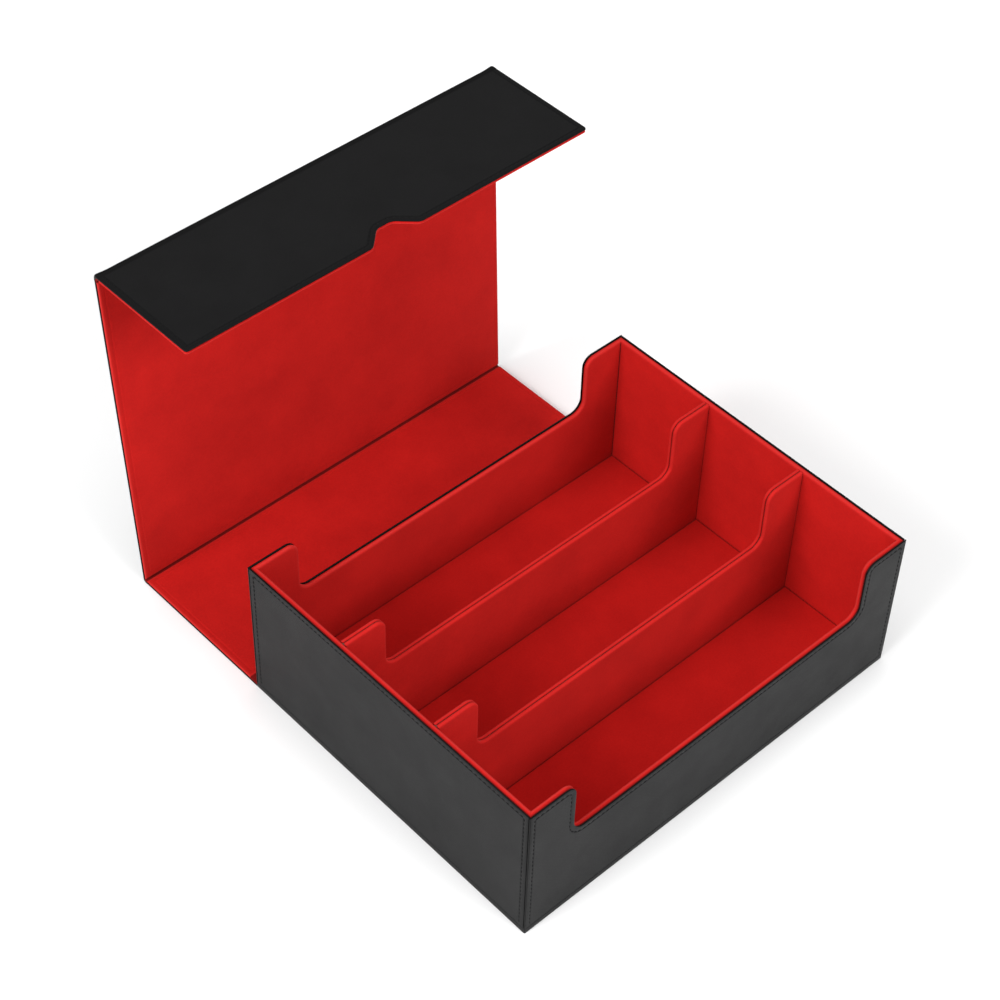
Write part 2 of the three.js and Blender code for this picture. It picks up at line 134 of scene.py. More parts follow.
class DeckBoxStitching(bpy.types.PropertyGroup):
    """The thread and the line it is sewn along."""

    inset: length_mm("Inset", "Distance from the leather's edge to the stitch line", 3.4)
    foot: length_mm("Foot", "Leather left unstitched at the foot of a wall or at a fold", 1.5)
    pitch: length_mm("Pitch", "Distance from one stitch to the next", 3.43)
    length: length_mm("Length", "Length of one stitch", 2.35)
    thread: length_mm("Thread", "Diameter of the thread", 0.8)
    slant: bpy.props.FloatProperty(
        name="Slant", description="Turn of each stitch away from the line",
        default=math.radians(7), unit="ROTATION")
    groove: length_mm("Groove", "Depth that the thread pulls into the leather", 0.13)
    groove_width: length_mm("Groove Width", "Width of the line that the thread pulls in", 1.3)


class DeckBoxFinish(bpy.types.PropertyGroup):
    """Colours of the leather, suede, thread, board and magnets."""

    leather: colour("Leather", "Black of the grained leather", 0.0048, 0.0047, 0.0049)
    leather_cloud: colour("Leather Cloud", "Black of the paler clouds in the hide", 0.0075, 0.0073, 0.0076)
    # Partly painted shade: the black on the leather's rounded edges and in the stitch groove.
    edge_dye: colour("Edge Dye And Shade", "Black of the dyed edges, with painted shade on rounded edges and in the stitch groove", 0.0012, 0.0012, 0.0013)
    # Partly a painted highlight: the grey on the leather's rounded edges.
    leather_wear: colour("Leather Wear And Highlight", "Grey of the leather's rubbed edges, partly a painted highlight", 0.012, 0.0115, 0.012)
    suede: colour("Suede", "Red of the suede lining", 0.505, 0.0092, 0.0072)
    suede_shade: colour("Suede Shade", "Red of the suede where its nap lies away", 0.375, 0.0052, 0.0044)
    # Partly a painted highlight: the paler red where the suede rolls over an edge.
    suede_rub: colour("Suede Rub And Highlight", "Paler red of the suede's rubbed edges, partly a painted highlight on its rolled edges", 0.45, 0.026, 0.023)
    # Painted shade: the dark red in the suede's seams, creases and corners.
    suede_tuck: colour("Suede Tuck Shade", "Dark red painted shade of the suede in seams, creases and corners", 0.03, 0.003, 0.003)
    suede_sheen: colour("Suede Sheen", "Tint of the light that catches the nap", 1.0, 0.16, 0.13)
    thread: colour("Thread", "Black of the thread", 0.0035, 0.0035, 0.0038)
    thread_dust: colour("Thread Dust", "Grey of the thread's loose fibres", 0.009, 0.009, 0.0095)
    board: colour("Board", "Grey-brown of the board", 0.26, 0.22, 0.17)
    board_fleck: colour("Board Fleck", "Brown of the board's flecks", 0.17, 0.145, 0.115)
    magnet: colour("Magnet", "Nickel of the magnets", 0.62, 0.6, 0.57)
    magnet_mark: colour("Magnet Mark", "Nickel of the rubbing marks", 0.5, 0.49, 0.47)


class DeckBoxStage(bpy.types.PropertyGroup):
    """The floor, the lights and the camera."""

    camera_place: bpy.props.FloatVectorProperty(
        name="Camera Place", description="Where the camera stands", subtype="TRANSLATION",
        default=(-0.63598, -0.59429, 1.04516))
    camera_turn: bpy.props.FloatProperty(
        name="Camera Turn", description="Turn of the view from +y towards +x",
        default=math.radians(43.99), unit="ROTATION")
    camera_drop: bpy.props.FloatProperty(
        name="Camera Drop", description="How far the camera looks down", default=math.radians(46.12),
        unit="ROTATION")
    camera_roll: bpy.props.FloatProperty(
        name="Camera Roll", description="Turn of the picture", default=math.radians(1.875), unit="ROTATION")
    lens: bpy.props.FloatProperty(
        name="Lens", description="Focal length on a 36 mm wide frame", default=84.417, unit="CAMERA")
    floor: colour("Floor", "Colour of the floor", 0.9, 0.9, 0.9)
    sky: bpy.props.FloatProperty(
        name="Sky", description="Strength of the even light all round", default=0.5, min=0)
    side_light: bpy.props.FloatProperty(
        name="Side Light", description="Power of the large soft light on the left", default=64,
        unit="POWER")
    front_light: bpy.props.FloatProperty(
        name="Front Light", description="Power of the large soft light on the right", default=50,
        unit="POWER")
    top_light: bpy.props.FloatProperty(
        name="Top Light", description="Power of the soft light overhead", default=10, unit="POWER")


# Details too small to be worth a setting, first those of the outlines and sheets.
FOOT_STEP = 1.5 * MM
FOOT_RING = 0.1 * MM
TIGHTEST = 0.15 * MM
SHEET_CORNER = 0.6 * MM
BASE_EDGE = 0.35 * MM
FLOOR_EDGE = 0.4 * MM
MITRE_GAP = 0.05 * MM
ROLL_MARGIN = 0.5 * MM
END_MARGIN = 0.3 * MM
CREASE_WIDTH = 0.6 * MM
PRESSED_STEP = 0.6 * MM
PRESSED_DEPTH = 0.25 * MM
UNDER_EDGE = 0.6
FOLD_EDGE = 0.8

# How near two places are to count as one, from measured points down to points just made.
NEAR_ENOUGH = 0.05 * MM
SAME_PLANE = 1e-6
SAME_PLACE = 1e-7

# The stitch groove, from its outer lip inwards: the share of its depth and how dark its painted shade is.
GROOVE_SECTION = ((0, 0.4), (0.75, 0.6), (1, 0.8), (0.75, 0.6), (0, 0.1), (0, 0))
STITCH_SINK = -0.12 * MM
STITCH_HEIGHT = 0.42
STITCH_SIDES = 6

# The flap's ridge, which swells towards its rounded tips, then the bends and how finely curves are cut.
RIDGE_TIP = 1.5 * MM
RIDGE_REACH = 8 * MM
RIDGE_CUTS = (0.35 * MM, 0.8 * MM, 1.5 * MM, 3 * MM, 5 * MM, 8 * MM)
RIDGE_SPREAD = 1.25
FLAT_REACH = 1.9 * MM
LEAD_STEPS = 4
TAIL_STEPS = 12
BEND_STEPS = 10
CURVE_STEPS = 8
EDGE_STEPS = 3
SEAM_STEPS = 4
ROLL_STEPS = 5

SHARP_EDGE = math.radians(42)
SHARP_CORNER = math.radians(50)

# Marks for the materials: above 0 is rubbed, partly a painted highlight; below 0 is dyed, partly painted
# shade on rounded edges and in grooves, creases and seams.
FACE_RUB_AND_HIGHLIGHT = 0.25
BASE_WEAR_AND_HIGHLIGHT = 0.5
ROUNDED_DYE_AND_SHADE = -0.7
CREASE_SHADE = -0.9
FLOOR_FOOT_SHADE = -0.8
FLOOR_EDGE_SHADE = -0.6

# The stage: each light's setting, its place and what it faces.
FLOOR_HALF = 6
FLOOR_DROP = 0.2 * MM
FLOOR_MOTTLE = 0.985
LIGHT_WIDTH = 1.6
LIGHTS = (
    ("side_light", (-2.2, 0.1, 1.5), (0, 0.05, 0.05)),
    ("front_light", (0.3, -2.2, 1.7), (0, 0.05, 0.05)),
    ("top_light", (0, 0.1, 2.0), (0, 0.05, 0)),
)


def sizes():
    return bpy.context.scene.deck_box_sizes


def stitching():
    return bpy.context.scene.deck_box_stitching


def finish():
    return bpy.context.scene.deck_box_finish


# Places: a flat piece is drawn in x and y with its outer face up (+z), then stood where it belongs.


def wall_place(x, y):
    """Local x runs along the wall, y up from the floor and z out through the leather, towards (x, y).

    z = 0 is the wall's outer face.
    """
    out, up = Vector((x, y, 0)), Vector((0, 0, 1))
    middle = Vector((x * HALF_LENGTH, y * HALF_DEPTH, 0))
    return Matrix.Translation(middle) @ Matrix((up.cross(out), up, out)).transposed().to_4x4()


def cover_place(hinge, turn):
    """Local y runs away from the hinge and z out through the leather; z = 0 is the leather's middle."""
    away = Vector((0, math.cos(turn), math.sin(turn)))
    across = Vector((-1, 0, 0))
    return Matrix.Translation(hinge) @ Matrix((across, away, across.cross(away))).transposed().to_4x4()


def open_turn(joint_name):
    """How far a fold is turned at rest, which is what it has left to open."""
    joint = next(joint for joint in frame["joints"] if joint["name"] == joint_name)
    return -math.radians(joint["range_deg"][0])


TOP_TURN = open_turn("top_hinge")
FLAP_TURN = open_turn("flap_hinge")
REAR_PLACE = cover_place(JOINTS["rear_hinge"], 0)
TOP_PLACE = cover_place(JOINTS["top_hinge"], TOP_TURN)
FLAP_PLACE = cover_place(JOINTS["flap_hinge"], TOP_TURN + FLAP_TURN)
PANELS = (("rear_panel", REAR_PLACE), ("top_panel", TOP_PLACE))


def cover_panel_span(name, place):
    """Where a cover panel's leather starts and ends, from the frame, along its own local y."""
    node = frame["nodes"][f"{name}_leather"]
    points = [place.inverted() @ (node.matrix_world @ vertex.co) for vertex in node.data.vertices]
    along = [point.y for point in points if abs(abs(point.z) - LEATHER / 2) < NEAR_ENOUGH]
    return min(along), max(along)


# Outlines and sheets.


def inset_corners(corners, inset):
    """The outline's corners moved inwards; rounded outer corners tighten and inner ones open."""
    moved = []
    for index, (x, y, radius) in enumerate(corners):
        here = Vector((x, y))
        into = (here - Vector(corners[index - 1][:2])).normalized()
        away = (Vector(corners[(index + 1) % len(corners)][:2]) - here).normalized()
        normals = into.orthogonal() + away.orthogonal()
        side = math.copysign(1, into.x * away.y - into.y * away.x)
        if radius:
            radius = max(radius - side * inset, TIGHTEST)
        spot = here + normals * (2 * inset / normals.length_squared)
        moved.append((spot.x, spot.y, radius))
    return moved


def draw_outline(mesh, corners):
    """One face at height 0 from its corners, each (x, y, radius) and anticlockwise."""
    points = [mesh.verts.new((x, y, 0)) for x, y, _ in corners]
    mesh.faces.new(points)
    flat = [Vector((x, y)) for x, y, _ in corners]
    for index, (point, (_, _, radius)) in enumerate(zip(points, corners)):
        if not radius:
            continue
        into = flat[index] - flat[index - 1]
        away = flat[(index + 1) % len(flat)] - flat[index]
        bmesh.ops.bevel(
            mesh, geom=[point], offset=radius * math.tan(into.angle(away) / 2), offset_type="OFFSET",
            segments=CURVE_STEPS, profile=0.5, affect="VERTICES", material=-1)
    return mesh.faces[:][0]


def outline_points(corners):
    """Where the points of an outline lie, in order."""
    mesh = bmesh.new()
    points = [point.co.copy() for point in draw_outline(mesh, corners).verts]
    mesh.free()
    return points


def ring_corners(corners, inset, foot=None, ends=None):
    """The corners moved inwards, with their own insets for the foot and for the two ends."""
    half = corners[1][0]
    lower = 0 if foot is None else inset - foot
    wider = 0 if ends is None else inset - ends
    drawn = []
    for index, (x, y, radius) in enumerate(corners):
        x += math.copysign(wider, x) if abs(abs(x) - half) < TIGHTEST else 0
        drawn.append((x, y - lower if index < 2 else y, radius))
    return inset_corners(drawn, inset)


def stack_outlines(mesh, rings):
    """Extrudes an outline from ring to ring, closed at both ends.

    Each ring is (corners, height, rub, sunk). Above 0 that mark is how rubbed the material is there,
    partly a painted highlight, and below 0 how dyed, partly painted shade. Sunk is how far the ring is
    pressed in, which it isn't next to the foot.
    """
    rub = mesh.verts.layers.float.new("rub")
    start = min(y for _, y, _ in rings[0][0])
    face = draw_outline(mesh, rings[0][0])
    foundation = face.verts[:]
    for number, (corners, height, rubbed, sunk) in enumerate(rings):
        if number:
            face = bmesh.ops.extrude_discrete_faces(mesh, faces=[face])["faces"][0]
        for point, spot in zip(face.verts, outline_points(corners)):
            pressed = sunk if spot.y > start + FOOT_STEP * 0.9 else 0
            point.co = (spot.x, spot.y, height - pressed)
            point[rub] = rubbed
    mesh.faces.new(reversed(foundation))
    bmesh.ops.recalc_face_normals(mesh, faces=mesh.faces[:])


def rounding(radius, steps=EDGE_STEPS):
    """How far in and how far down a rounded edge is at each step, from its side up to its face."""
    turns = [math.pi / 2 * step / steps for step in range(steps + 1)]
    return [(radius * (1 - math.cos(turn)), radius * (1 - math.sin(turn))) for turn in turns]


def round_edges(mesh, edges, radius):
    """Bevels the edges and marks the rounding as dyed and darkened with painted shade."""
    rub = mesh.verts.layers.float.get("rub") or mesh.verts.layers.float.new("rub")
    rounded = bmesh.ops.bevel(
        mesh, geom=edges, offset=radius, offset_type="OFFSET", segments=EDGE_STEPS, profile=0.5,
        affect="EDGES", material=-1)
    for point in rounded["verts"]:
        point[rub] = ROUNDED_DYE_AND_SHADE


def slice_mesh(mesh, place, across, clear_outer=False):
    bmesh.ops.bisect_plane(
        mesh, geom=mesh.verts[:] + mesh.edges[:] + mesh.faces[:], dist=SAME_PLACE, plane_co=place,
        plane_no=across, clear_outer=clear_outer)


def finish_piece(name, mesh, place, stuff, body, node, blend=None):
    """Turns the bmesh into a named piece that stands for its CAD node, which it hides; it rides on its body,
    but a piece given a blend stays fixed where it is built.
    """
    build_material, slot = STUFF[stuff]
    bmesh.ops.transform(mesh, matrix=place, verts=mesh.verts[:])
    data = bpy.data.meshes.new(name)
    mesh.to_mesh(data)
    mesh.free()
    data.shade_smooth()
    data.set_sharp_from_angle(angle=SHARP_EDGE)
    data.materials.append(made(build_material))
    piece = bpy.data.objects.new(name, data)
    bpy.context.scene.collection.objects.link(piece)
    if blend:
        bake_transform(piece)
    else:
        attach(piece, body)
    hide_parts(node)


def on_foot(half_length, foot, upper):
    """An outline that stands on a straight foot, with a point on each side a little way up it."""
    step = foot + FOOT_STEP
    return [(-half_length, foot, 0), (half_length, foot, 0), (half_length, step, 0), *upper,
            (-half_length, step, 0)]


def scooped_corners(half_length, foot):
    """A long wall or divider with its hand scoop, drawn from its foot."""
    size = sizes()
    side = HALF_LENGTH - size.scoop_shoulder
    low = size.scoop_edge
    return on_foot(half_length, foot, [
        (half_length, RIM, 0), (side, RIM, size.scoop_top_radius), (side, low, size.scoop_low_radius),
        (-side, low, size.scoop_low_radius), (-side, RIM, size.scoop_top_radius), (-half_length, RIM, 0)])


def plain_corners(half_length, foot, top):
    return on_foot(half_length, foot, [(half_length, top, 0), (-half_length, top, 0)])


def flap_corners(half_length, start, end):
    """The flap, drawn from its fold to its free edge with the thumb notch."""
    size = sizes()
    mouth, flat = size.notch_mouth / 2, size.notch_flat / 2
    deep, radius = end - size.notch_depth, size.notch_radius
    return on_foot(half_length, start, [
        (half_length, end, size.flap_corner), (mouth, end, radius), (flat, deep, radius),
        (-flat, deep, radius), (-mouth, end, radius), (-half_length, end, size.flap_corner)])


def wall_corners(name, half_length):
    if name.endswith("wall"):
        return scooped_corners(half_length, FOOT)
    return plain_corners(half_length, FOOT, RIM)


def sheet_corners(low, high):
    """A flat sheet with slightly rounded corners."""
    return [(low[0], low[1], SHEET_CORNER), (high[0], low[1], SHEET_CORNER),
            (high[0], high[1], SHEET_CORNER), (low[0], high[1], SHEET_CORNER)]


# Materials.


def new_material(name):
    material = bpy.data.materials.new(name)
    material.use_nodes = True
    tree = material.node_tree
    shader = next(node for node in tree.nodes if node.type == "BSDF_PRINCIPLED")
    shader.distribution = "MULTI_GGX"
    return material, tree, shader


def add(tree, kind, label, **inputs):
    """A node with a label and its inputs set by name."""
    node = tree.nodes.new(kind)
    node.label = label
    for name, value in inputs.items():
        node.inputs[name.replace("_", " ")].default_value = value
    return node


def noise_at(tree, where, label, size, detail=3.0, roughness=0.55):
    node = add(tree, "ShaderNodeTexNoise", label, Scale=1 / size, Detail=detail, Roughness=roughness)
    tree.links.new(where, node.inputs["Vector"])
    return node.outputs["Fac"]


def spread(tree, value, label, low, high, to_low=0.0, to_high=1.0):
    node = add(tree, "ShaderNodeMapRange", label, From_Min=low, From_Max=high, To_Min=to_low,
               To_Max=to_high)
    tree.links.new(value, node.inputs["Value"])
    return node.outputs["Result"]


def combine(tree, operation, first, second, label):
    node = tree.nodes.new("ShaderNodeMath")
    node.label = label
    node.operation = operation
    tree.links.new(first, node.inputs[0])
    if isinstance(second, float):
        node.inputs[1].default_value = second
    else:
        tree.links.new(second, node.inputs[1])
    return node.outputs["Value"]


def times(tree, first, second, label):
    return combine(tree, "MULTIPLY", first, second, label)


def plus(tree, first, second, label):
    return combine(tree, "ADD", first, second, label)


def blend_colours(tree, factor, first, second, label):
    node = tree.nodes.new("ShaderNodeMix")
    node.data_type = "RGBA"
    node.label = label
    tree.links.new(factor, node.inputs["Factor"])
    for colour, socket in ((first, node.inputs["A"]), (second, node.inputs["B"])):
        if isinstance(colour, bpy.types.NodeSocket):
            tree.links.new(colour, socket)
        else:
            socket.default_value = colour
    return node.outputs["Result"]


def bump(tree, height, label, strength, distance, shader):
    node = add(tree, "ShaderNodeBump", label, Strength=strength, Distance=distance)
    tree.links.new(height, node.inputs["Height"])
    tree.links.new(node.outputs["Normal"], shader.inputs["Normal"])


def object_coordinates(tree):
    return tree.nodes.new("ShaderNodeTexCoord").outputs["Object"]


# Reads the mark: rubbed wear with a painted highlight above 0, dyed edges with painted shade below 0.
def rubbed(tree):
    node = tree.nodes.new("ShaderNodeAttribute")
    node.attribute_name = "rub"
    return node.outputs["Fac"]


def made(build_material):
    """The material that bears a function's name, built by it the first time it is asked for."""
    return bpy.data.materials.get(build_material.__name__) or build_material()


def grained_leather():
    """Black leather with a fine pebbled grain, a faint hatch, uneven gloss, dyed edges and a stitch groove
    darkened with painted shade, and rubbed edges lightened partly by a painted highlight.
    """
    colours = finish()
    material, tree, shader = new_material("grained_leather")
    where = object_coordinates(tree)
    pebbles = add(tree, "ShaderNodeTexVoronoi", "pebbles", Scale=1 / (0.9 * MM), Randomness=0.9)
    pebbles.feature = "DISTANCE_TO_EDGE"
    tree.links.new(where, pebbles.inputs["Vector"])
    valleys = spread(tree, pebbles.outputs["Distance"], "valleys between pebbles", 0.0, 0.18)
    fine = noise_at(tree, where, "fine grain", 0.35 * MM)
    hide = noise_at(tree, where, "uneven hide", 22 * MM, 4.0)
    slant = add(tree, "ShaderNodeMapping", "slant of the hatch", Scale=(1, -1, 1))
    tree.links.new(where, slant.inputs["Vector"])
    hatch = add(tree, "ShaderNodeTexWave", "embossed hatch", Scale=0.444 / (2.1 * MM), Distortion=0.6,
                Detail=1.0, Detail_Scale=2.0)
    hatch.bands_direction = "DIAGONAL"
    tree.links.new(slant.outputs["Vector"], hatch.inputs["Vector"])
    relief = plus(tree, plus(tree, valleys, times(tree, fine, 0.6, "fine grain height"), "pebbled relief"),
                  times(tree, hatch.outputs["Fac"], 0.5, "hatch height"), "grain relief")
    bump(tree, relief, "grain", 0.22, 0.08 * MM, shader)
    cloudy = blend_colours(
        tree, spread(tree, hide, "hide clouds", 0.35, 0.65, 0.0, 0.35), colours.leather,
        colours.leather_cloud, "hide colour")
    # Rubbed edges, partly a painted highlight; dyed edges, with painted shade on their rounding and in the
    # stitch groove.
    worn_and_highlit = times(tree, spread(tree, rubbed(tree), "worn edges", 0.0, 1.0),
                 spread(tree, fine, "patchy wear", 0.3, 0.6, 0.45, 1.0), "edge wear and painted highlight")
    dye_and_shade_edge = spread(tree, rubbed(tree), "dyed cut edges and painted shade", 0.0, -1.0)
    surface = blend_colours(tree, worn_and_highlit, cloudy, colours.leather_wear, "worn colour")
    tree.links.new(blend_colours(tree, dye_and_shade_edge, surface, colours.edge_dye, "edge dye"),
                   shader.inputs["Base Color"])
    gloss = plus(tree, spread(tree, hide, "gloss of the hide", 0.3, 0.7, 0.44, 0.52),
                 times(tree, valleys, -0.04, "valleys are duller"), "gloss")
    tree.links.new(gloss, shader.inputs["Roughness"])
    shader.inputs["Specular IOR Level"].default_value = 0.1
    return material


def napped_suede():
    """Red suede with a soft nap that lies in drifts, paler on its rolled edges with a painted highlight and
    some rubbed nap, and darker with painted shade in seams, creases and corners.
    """
    colours = finish()
    material, tree, shader = new_material("napped_suede")
    where = object_coordinates(tree)
    drifts = noise_at(tree, where, "drifts of the nap", 30 * MM, 4.0, 0.6)
    tufts = noise_at(tree, where, "tufts", 1.3 * MM, 3.0, 0.65)
    fibres = noise_at(tree, where, "fibres", 0.22 * MM, 2.0, 0.7)
    lying = plus(tree, spread(tree, drifts, "lying drifts", 0.3, 0.7, 0.0, 0.55),
                 spread(tree, tufts, "lying tufts", 0.3, 0.7, 0.0, 0.45), "nap lying away")
    brushed = blend_colours(tree, lying, colours.suede, colours.suede_shade, "brushed colour")
    # The rolled edges get a painted highlight with some rubbed nap; seams, creases and corners get painted
    # shade.
    worn_and_highlit = spread(tree, rubbed(tree), "worn edges", 0.0, 1.0)
    rub = times(tree, worn_and_highlit, spread(tree, tufts, "patchy rub", 0.3, 0.6, 0.4, 0.9), "edge rub")
    tuck_shade_mask = spread(tree, rubbed(tree), "tucked edges", 0.0, -1.0)
    pale = blend_colours(tree, rub, brushed, colours.suede_rub, "rubbed and highlighted colour")
    tree.links.new(blend_colours(tree, tuck_shade_mask, pale, colours.suede_tuck, "tucked colour"),
                   shader.inputs["Base Color"])
    relief = plus(tree, fibres, times(tree, tufts, 1.6, "tuft height"), "nap relief")
    bump(tree, relief, "nap", 0.35, 0.12 * MM, shader)
    shader.inputs["Roughness"].default_value = 0.95
    shader.inputs["Specular IOR Level"].default_value = 0.12
    shader.inputs["Sheen Weight"].default_value = 0.2
    shader.inputs["Sheen Roughness"].default_value = 0.45
    shader.inputs["Sheen Tint"].default_value = colours.suede_sheen
    return material


def twisted_thread():
    """Black waxed thread with a fine twist."""
    colours = finish()
    material, tree, shader = new_material("twisted_thread")
    where = object_coordinates(tree)
    twist = add(tree, "ShaderNodeTexWave", "twist", Scale=1 / (2.2 * MM), Distortion=1.2)
    twist.bands_direction = "DIAGONAL"
    tree.links.new(where, twist.inputs["Vector"])
    fluff = noise_at(tree, where, "loose fibres", 0.15 * MM)
    relief = plus(tree, twist.outputs["Fac"], fluff, "thread relief")
    bump(tree, relief, "thread twist", 0.5, 0.06 * MM, shader)
    tree.links.new(
        blend_colours(tree, spread(tree, fluff, "dusty fibres", 0.4, 0.7, 0.0, 0.5), colours.thread,
                      colours.thread_dust, "thread colour"), shader.inputs["Base Color"])
    shader.inputs["Roughness"].default_value = 0.75
    shader.inputs["Specular IOR Level"].default_value = 0.1
    return material


def pressed_board():
    """Grey-brown pressed board with flecks and short fibres."""
    colours = finish()
    material, tree, shader = new_material("pressed_board")
    where = object_coordinates(tree)
    flecks = noise_at(tree, where, "flecks", 0.8 * MM, 4.0, 0.7)
    fibres = noise_at(tree, where, "short fibres", 0.3 * MM, 2.0)
    mottled = blend_colours(tree, spread(tree, flecks, "fleck spread", 0.35, 0.65), colours.board,
                            colours.board_fleck, "board colour")
    tree.links.new(mottled, shader.inputs["Base Color"])
    bump(tree, fibres, "fibre relief", 0.4, 0.1 * MM, shader)
    shader.inputs["Roughness"].default_value = 0.9
    return material


def nickel_plate():
    """Nickel plate with faint rubbing marks."""
    colours = finish()
    material, tree, shader = new_material("nickel_plate")
    where = object_coordinates(tree)
    marks = noise_at(tree, where, "rubbing marks", 1.5 * MM, 4.0, 0.7)
    tree.links.new(spread(tree, marks, "gloss", 0.3, 0.7, 0.2, 0.38), shader.inputs["Roughness"])
    tree.links.new(blend_colours(tree, marks, colours.magnet, colours.magnet_mark, "nickel colour"),
                   shader.inputs["Base Color"])
    bump(tree, marks, "plate relief", 0.15, 0.02 * MM, shader)
    shader.inputs["Metallic"].default_value = 1
    return material


# What the pieces are made of: the material's function and its slot.
STUFF = {
    "leather": (grained_leather, "black_leather"),
    "suede": (napped_suede, "red_suede"),
    "thread": (twisted_thread, "black_thread"),
}
HIDDEN_STUFF = {"board": pressed_board, "magnet": nickel_plate}


# Leather pieces.


def leather_sheet(corners, low, high, folded=False):
    """A cut sheet of leather with softened, dyed edges and the stitch line pressed into its outer face;
    painted shade darkens the rounding of its edges and the stitch groove.

    A folded sheet stays square along its foot, where it runs on into a fold.
    """
    size, sewn = sizes(), stitching()
    edge, quarter = size.leather_edge, sewn.groove_width / 4

    def ring(inset, height, rub, sunk=0.0, foot=None):
        if foot is None and folded:
            foot = 0
        return ring_corners(corners, inset, foot), height, rub, sunk

    under = edge * UNDER_EDGE
    # The back and cut side are dyed; the rounding and the stitch groove get painted shade.
    rings = [ring(under, low, -1), ring(0, low + under, -1)]
    rings += [ring(inwards, high - down, 0.5 * inwards / edge - 1) for inwards, down in rounding(edge)]
    for count, (share, dye_and_shade) in enumerate(GROOVE_SECTION):
        foot = (0 if folded else edge) + (count + 1) * FOOT_RING
        rings.append(ring(sewn.inset + (count - 2) * quarter, high, -dye_and_shade, sewn.groove * share, foot))
    mesh = bmesh.new()
    stack_outlines(mesh, rings)
    return mesh


class DeckBoxBase(bpy.types.Operator):
    """Makes the leather pan under the tray"""

    bl_idname = "deck_box.base"
    bl_label = "Base"
    bl_options = {"REGISTER", "UNDO"}

    def execute(self, context):
        top = TRAY_HIGH[2]
        corners = sheet_corners((-HALF_LENGTH, -HALF_DEPTH), (HALF_LENGTH, HALF_DEPTH))
        # The base's rounded edges are marked as rubbed, partly a painted highlight.
        rings = [(inset_corners(corners, inwards), down, BASE_WEAR_AND_HIGHLIGHT, 0)
                 for inwards, down in reversed(rounding(BASE_EDGE))]
        rings += [(inset_corners(corners, inwards), top - down, 1, 0)
                  for inwards, down in rounding(BASE_EDGE)]
        rings += [(inset_corners(corners, LEATHER), height, 0, 0) for height in (top, LEATHER)]
        mesh = bmesh.new()
        stack_outlines(mesh, rings)
        finish_piece("base_skin", mesh, Matrix(), "leather", "tray", "base_leather")
        return {"FINISHED"}


class DeckBoxWallLeather(bpy.types.Operator):
    """Makes the leather on the four walls"""

    bl_idname = "deck_box.wall_leather"
    bl_label = "Wall Leather"
    bl_options = {"REGISTER", "UNDO"}

    def execute(self, context):
        for name, outward, half, _ in WALLS:
            mesh = leather_sheet(wall_corners(name, half), -LEATHER, 0)
            finish_piece(f"{name}_skin", mesh, wall_place(*outward), "leather", "tray", f"{name}_leather")
        return {"FINISHED"}


class DeckBoxCoverLeather(bpy.types.Operator):
    """Makes the leather of the rear panel, the top panel and the flap"""

    bl_idname = "deck_box.cover_leather"
    bl_label = "Cover Leather"
    bl_options = {"REGISTER", "UNDO"}

    def execute(self, context):
        for name, place in PANELS:
            mesh = panel_leather(*cover_panel_span(name, place))
            finish_piece(f"{name}_skin", mesh, place, "leather", name, f"{name}_leather")
        start, end = cover_panel_span("front_flap", FLAP_PLACE)
        mesh = leather_sheet(flap_corners(HALF_LENGTH, start, end), -LEATHER / 2, LEATHER / 2, folded=True)
        finish_piece("front_flap_skin", mesh, FLAP_PLACE, "leather", "front_flap", "front_flap_leather")
        return {"FINISHED"}


def panel_leather(start, end):
    """A panel between two folds, with a stitch line pressed in along each of its two ends."""
    size, sewn = sizes(), stitching()
    mesh = bmesh.new()
    bmesh.ops.create_cube(mesh, size=1, matrix=Matrix.Translation((0, (start + end) / 2, 0))
                          @ Matrix.Diagonal((2 * HALF_LENGTH, end - start, LEATHER, 1)))
    sides = [edge for edge in mesh.edges if abs(edge.verts[0].co.y - edge.verts[1].co.y) > LEATHER]
    round_edges(mesh, sides, size.leather_edge)
    quarter = sewn.groove_width / 4
    line = HALF_LENGTH - sewn.inset
    for side in (-1, 1):
        for step in (-2, -1, 0, 1, 2, 3):
            slice_mesh(mesh, (side * (line - step * quarter), 0, 0), (1, 0, 0))
    for point in mesh.verts:
        away = abs(line - abs(point.co.x)) / quarter
        if point.co.z > LEATHER / 2 - NEAR_ENOUGH and away < 1.5:
            point.co.z -= sewn.groove * (1 if away < 0.5 else GROOVE_SECTION[1][0])
    return mesh


# Suede pieces.


def crease(mesh, corner, face):
    """Darkens a thin line on a sheet's face where its two ends meet the sheets that stand against them."""
    rub = mesh.verts.layers.float.get("rub")
    for side in (-1, 1):
        slice_mesh(mesh, (side * (corner - CREASE_WIDTH), 0, 0), (1, 0, 0))
    for point in mesh.verts:
        if abs(point.co.x) > corner - NEAR_ENOUGH and abs(point.co.z - face) < TIGHTEST:
            point[rub] = CREASE_SHADE


